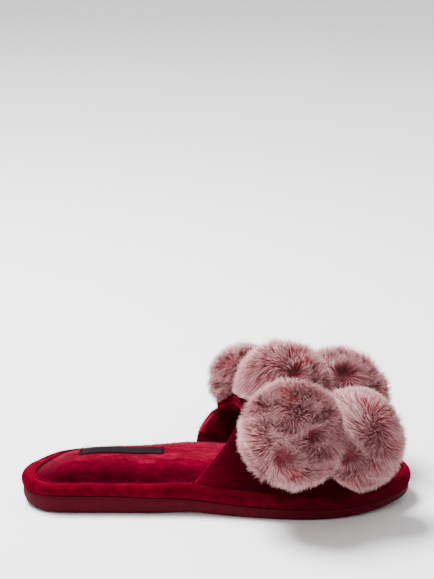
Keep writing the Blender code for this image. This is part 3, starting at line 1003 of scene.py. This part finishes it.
def press(points, walls, rag=0.0):
    """Points of a pompom moved back from its walls, and a little aside, as pressed fur goes."""
    for towards, reach in walls:
        towards = np.array(towards)
        depth = points @ towards
        start = 0.62 * reach
        over = np.maximum(depth - start, 0.0)
        room = reach * (1 + rag) - start
        back = over - room * np.tanh(over / room)
        aside = points - depth[:, None] * towards
        aside /= np.linalg.norm(aside, axis=1, keepdims=True) + 1e-9
        points = points - towards * back[:, None] + aside * (0.25 * back)[:, None]
    return points


# %% Pompoms
def ball_directions(count, source):
    step = np.arange(count) + 0.5
    z = 1 - 2 * step / count
    turn = step * math.pi * (3 - math.sqrt(5))
    flat = np.sqrt(1 - z * z)
    ways = np.stack([flat * np.cos(turn), flat * np.sin(turn), z], axis=1)
    return unit(ways + source.normal(size=ways.shape) * (0.8 / math.sqrt(count)))


def waves(ways, source, size, count=12):
    """A smooth random vector at each place on the ball, built from waves of about the given size."""
    total = np.zeros_like(ways)
    for _ in range(count):
        total += source.normal(size=3) * np.sin(ways @ (source.normal(size=3) / size) + source.uniform(0, 6.28))[:, None]
    return total / math.sqrt(count)


def heart_of(row):
    depth = math.sqrt(max(0.0, 1 - row.right**2 - row.up**2))
    return FACING[0] * row.right + FACING[1] * row.up + FACING[2] * depth


def lean_of(name, ways, seed):
    """How the fur leans at each place: strokes, droop, partings and whorls."""
    source = np.random.default_rng(seed)
    lean = waves(ways, source, 0.45) * 0.20 + waves(ways, source, 0.16) * 0.13 + (0, 0, -0.06)
    for row in PARTINGS:
        if row.name != name:
            continue
        heart = np.array(heart_of(row))
        away = ways - heart
        fade = np.exp(-((np.linalg.norm(away, axis=1) / row.size) ** 2))[:, None]
        lean = lean * (1 - 0.6 * fade) + unit(away) * fade * row.push + np.cross(heart, unit(away)) * fade * row.turn
    return lean - (lean * ways).sum(1, keepdims=True) * ways


def closeness(name, ways, bare):
    """How near each hair's tip is to a parting: 1 in it, 0 away from it.

    A narrow parting has no push and is bare of frost. A wide one is a hollow, where the fur is short and its
    hairs are painted darker as painted shade.
    """
    near = np.zeros(len(ways))
    for row in PARTINGS:
        if row.name == name and (row.push == 0) == bare:
            away = np.linalg.norm(ways - np.array(heart_of(row)), axis=1)
            near = np.maximum(near, np.exp(-((away / (row.size if bare else row.size * 0.5)) ** 2)))
    return near


def make_pompom(row, seed):
    source = np.random.default_rng(seed)
    ways = ball_directions(row.hairs, source)
    tufts = ball_directions(420, source)
    wisps = ball_directions(2000, source)
    out = unit(ways + lean_of(row.name, ways, seed))
    goals = []
    for heads in (tufts, wisps):
        nearest = (ways.astype(np.float32) @ heads.T.astype(np.float32)).argmax(1)
        goals.append(unit(heads + lean_of(row.name, heads, seed))[nearest])
        if heads is tufts:
            height = source.normal(size=len(heads))[nearest] * 0.011
        else:
            height = height + source.normal(size=len(heads))[nearest] * 0.012
    tip_way = unit(out * 0.56 + goals[0] * 0.12 + goals[1] * 0.32 + source.normal(size=ways.shape) * 0.035)
    bare, hollow_shade = closeness(row.name, tip_way, True), closeness(row.name, tip_way, False)
    length = row.fluff + height + source.uniform(-0.05, 0.025, row.hairs) - 0.03 * bare - 0.05 * hollow_shade
    stray = source.uniform(size=row.hairs) < 0.03
    length = np.where(stray, length + 0.02, length)
    shape = np.array((row.wide, row.deep, row.tall)) * POMPOM_RADIUS
    root = ways * 0.70
    tip = tip_way * length[:, None]
    middle = root * 0.42 + tip * 0.58 + ways * 0.035
    walls = walls_of(row)
    rag = source.normal(size=row.hairs) * 0.05 + height
    root, middle, tip = (press(part * shape, walls, rag) + np.array(middle_of(row)) for part in (root, middle, tip))
    root, middle, tip, left = yield_to(row, root, middle, tip)
    thick = source.uniform(0.00009, 0.00017, row.hairs)[left]
    tone = source.uniform(size=row.hairs)
    # Hairs in a wide hollow are painted darker, as painted shade in the hollow.
    tone = np.where(tone < bare, BARE, tone * (1 - 0.85 * hollow_shade))[left]
    mesh = strand_mesh("fur_" + row.name, [root, middle], tip, thick, tone)
    made = ride_mesh("fur_" + row.name, mesh, fur, ["pompom_" + row.name])
    bm = bmesh.new()
    bmesh.ops.create_icosphere(bm, subdivisions=4, radius=0.75)
    for other in POMPOMS:
        if other.give < row.give:
            way = middle_of(other) - middle_of(row)
            walls.append((way.normalized(), way.length - reach_of(other, way.normalized()) * 0.75))
    places = press(np.array([v.co for v in bm.verts]) * shape, walls) + np.array(middle_of(row))
    for v, place in zip(bm.verts, places):
        v.co = Vector(place)
    finish_piece("backing_" + row.name, bm, [backing])
    return made


pompoms = [make_pompom(row, seed) for row, seed in zip(POMPOMS, (7, 23, 9, 10, 11))]


# %% [markdown]
# ## The pile that stands up
#
# The velvet and the plush have a real nap. Along the rim, over the footbed and on the straps' cut edges it
# stands up as a fine fuzz that softens every outline and catches the light as a thin pale line at the seam.
# Short bristles are scattered over the pieces by area, each near the normal but brushed a little one way.

# %% Nap
def scatter(piece, count, source, keep):
    """Places on a piece and their normals, spread by area over the faces that are kept."""
    mesh = piece.data
    mesh.calc_loop_triangles()
    corners = np.empty(len(mesh.loop_triangles) * 3, np.int32)
    mesh.loop_triangles.foreach_get("vertices", corners)
    spots = np.empty(len(mesh.vertices) * 3, np.float32)
    mesh.vertices.foreach_get("co", spots)
    a, b, c = spots.reshape(-1, 3)[corners.reshape(-1, 3)].transpose(1, 0, 2).astype(float)
    turn = np.cross(b - a, c - a)
    weight = np.linalg.norm(turn, axis=1) * keep((a + b + c) / 3, unit(turn))
    chosen = source.choice(len(weight), count, p=weight / weight.sum())
    u, v = source.uniform(size=(2, count, 1))
    flip = u + v > 1
    u, v = np.where(flip, 1 - u, u), np.where(flip, 1 - v, v)
    return a[chosen] + u * (b - a)[chosen] + v * (c - a)[chosen], unit(turn[chosen])


def nap(name, places, normals, reach, thick, material, source, brushed=(0.25, -0.1, 0.0)):
    count = len(places)
    ways = unit(normals + np.array(brushed) + waves(places / 0.02, source, 1.2, 8) * 0.25
                + source.normal(size=(count, 3)) * 0.25)
    tips = places + ways * (reach * source.uniform(0.6, 1.15, count))[:, None]
    mesh = strand_mesh(name, [places - normals * 0.0002], tips, np.full(count, thick), source.uniform(size=count))
    return ride_mesh(name, mesh, material)


# The nap's tips are painted paler than the cloth below, a painted highlight for the light that the fuzz catches.
plush_nap = dyed_hair(
    "ruby_plush_nap", ((0.0, "#400010"), (0.6, "#5c0020"), (1.0, "#a81840")), 0.6, 0.08, "#ff5a90", 0.9
)
source = np.random.default_rng(41)


def facing_up(middle, normal):
    return (normal[:, 2] > 0.2).astype(float)


def above_rubber(middle, normal):
    clear = middle[:, 2] > np.array([rubber_top(x) + 0.001 for x in middle[:, 0]])
    return ((normal[:, 2] > -0.5) & clear).astype(float)


footbed_nap = nap("footbed_nap", *scatter(footbed, 15000, source, facing_up), 0.0011, 0.00013, plush_nap, source)
rim_nap = nap("rim_nap", *scatter(platform, 13000, source, above_rubber), 0.0009, 0.00012, plush_nap, source)


def edge_nap():
    """Longer fuzz in three thin lines: the footbed's seam and the straps' free edges."""
    seam = np.array(level(RIM_WIDTH * 0.97, lambda x: rim_top(x) - 0.0006, HEEL_EXTRA))
    lines = [(seam, np.array([(0, 0, 1.0)] * len(seam)))]
    for edge in (THROAT_EDGE, TOE_EDGE):
        spots = [(edge_along(edge, angle), angle) for angle in ANGLES[1:-1]]
        out = -1 if edge is THROAT_EDGE else 1
        lines.append((
            np.array([strap_place(a + out * -0.002, angle, True) for a, angle in spots]),
            np.array([strap_normal(a, angle) * 0.5 + Vector((out, 0, 0)) for a, angle in spots]),
        ))
    places, ways = [], []
    for (line, normal), count in zip(lines, (3600, 1400, 1200)):
        at = source.uniform(0, len(line) - 1.001, count)
        low, share = at.astype(int), (at % 1)[:, None]
        places.append(line[low] * (1 - share) + line[low + 1] * share + source.normal(size=(count, 3)) * 0.0002)
        ways.append(unit(normal[low]))
    return np.concatenate(places), np.concatenate(ways)


line_nap = nap("seam_and_edge_nap", *edge_nap(), 0.0013, 0.00012, plush_nap, source, (0.0, 0.0, 0.0))


# %% [markdown]
# ## Camera, floor and light
#
# The slipper stands on a plain pale floor under a large soft light, slightly above eye level, seen from its
# inner side through a long lens.

# %% Camera, floor and lights
def add_light(name, place, target, size, power):
    light = bpy.data.lights.new(name, "AREA")
    light.shape, light.size, light.energy = "DISK", size, power
    made = bpy.data.objects.new(name, light)
    bpy.context.scene.collection.objects.link(made)
    made.location = place
    made.rotation_euler = (Vector(target) - Vector(place)).to_track_quat("-Z", "Y").to_euler()
    return made


PITCH = 16.978
lens = bpy.data.cameras.new("camera")
lens.lens, lens.sensor_width = 124.54, 36.0
lens.clip_start, lens.clip_end = 0.05, 50.0
camera = bpy.data.objects.new("camera", lens)
bpy.context.scene.collection.objects.link(camera)
camera.location = (0.0855, -1.2517, 0.5257)
camera.rotation_euler = (math.radians(90 - PITCH), 0, 0)
bpy.context.scene.camera = camera

bm = bmesh.new()
bmesh.ops.create_grid(bm, x_segments=1, y_segments=1, size=6.0)
floor_mesh = bpy.data.meshes.new("floor")
bm.to_mesh(floor_mesh)
bm.free()
floor = bpy.data.objects.new("floor", floor_mesh)
bpy.context.scene.collection.objects.link(floor)
paper, paper_shader = new_material("pale_matte_paper", 0.95)
paper_shader.inputs["Base Color"].default_value = linear("#f4f3f2")
floor_mesh.materials.append(paper)

world = bpy.data.worlds.new("studio")
bpy.context.scene.world = world
world.use_nodes = True
world.node_tree.nodes["Background"].inputs["Color"].default_value = (1, 1, 1, 1)
world.node_tree.nodes["Background"].inputs["Strength"].default_value = 0.8
add_light("overhead_softbox", (-0.45, 0.30, 1.40), (0.08, 0, 0.03), 0.8, 95.0)
add_light("front_fill", (-0.48, -0.86, 0.50), (0.06, 0, 0.04), 0.6, 3.2)
print("camera %.2f m away" % (camera.location - Vector((0.0855, 0, 0.02))).length)
